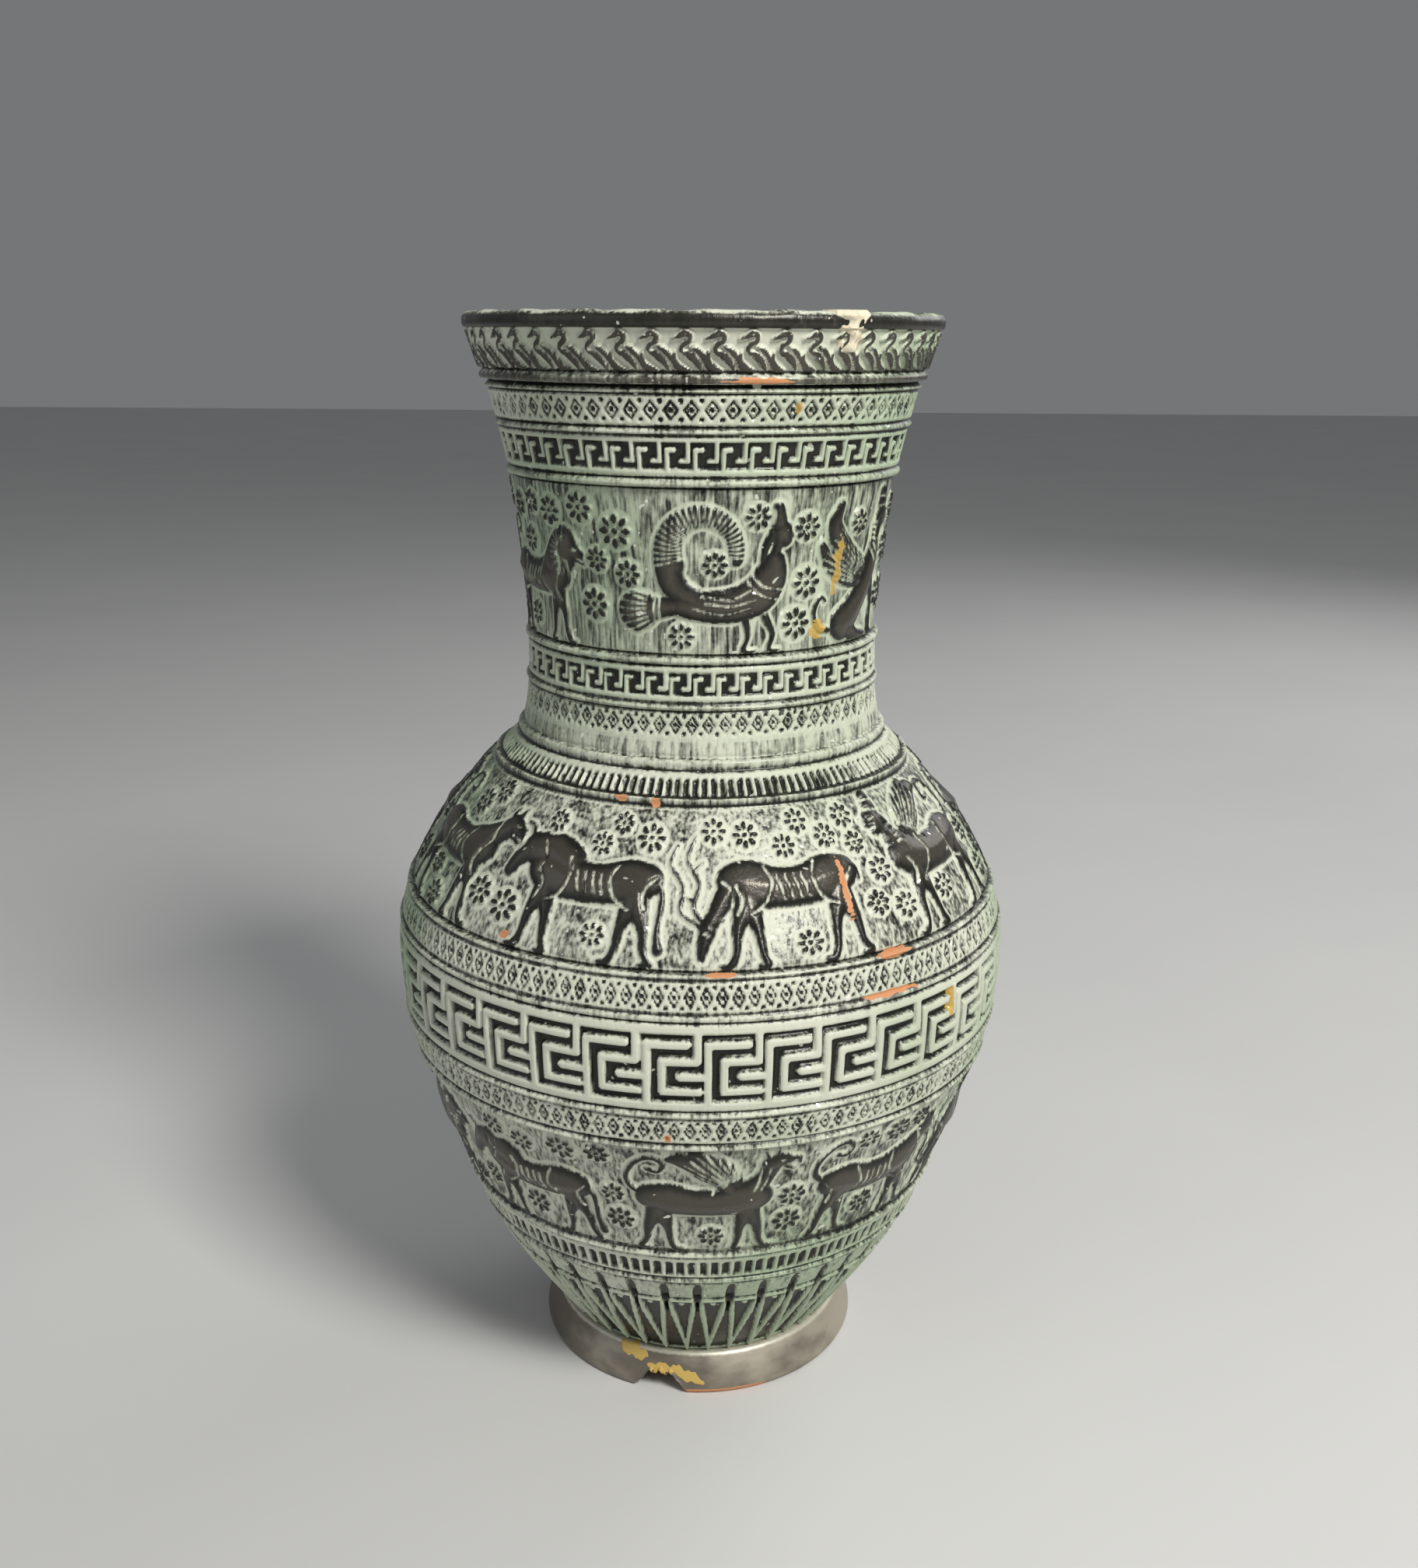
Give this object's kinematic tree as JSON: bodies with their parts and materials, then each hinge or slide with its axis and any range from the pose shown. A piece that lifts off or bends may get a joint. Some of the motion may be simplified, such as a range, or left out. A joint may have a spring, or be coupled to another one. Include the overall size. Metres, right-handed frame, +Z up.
{
  "type": "relief vase",
  "caption": "Relief-moulded terracotta vase with a wide flaring neck, ovoid body and low foot, dark finish under a pale green wash.",
  "frame": {"origin": "middle of the foot's standing face", "axes": "+Z up along the axis of the vase, -Y towards the side that the picture shows, +X to its right"},
  "size_m": [0.1734, 0.1734, 0.299],
  "materials": {
    "washed_relief": "matt",
    "dark_relief": "satin",
    "pewter_foot": "satin",
    "filler": "matt"
  },
  "bodies": {
    "root": {"foot_ring": "pewter_foot", "bowl_with_floor": "dark_relief", "lower_frieze_wall": "washed_relief", "belly_band_wall": "washed_relief", "shoulder_wall": "washed_relief", "stepped_collar": "dark_relief", "neck_wall": "washed_relief", "flaring_mouth": "washed_relief", "rim_filling": "filler"}
  },
  "joints": []
}
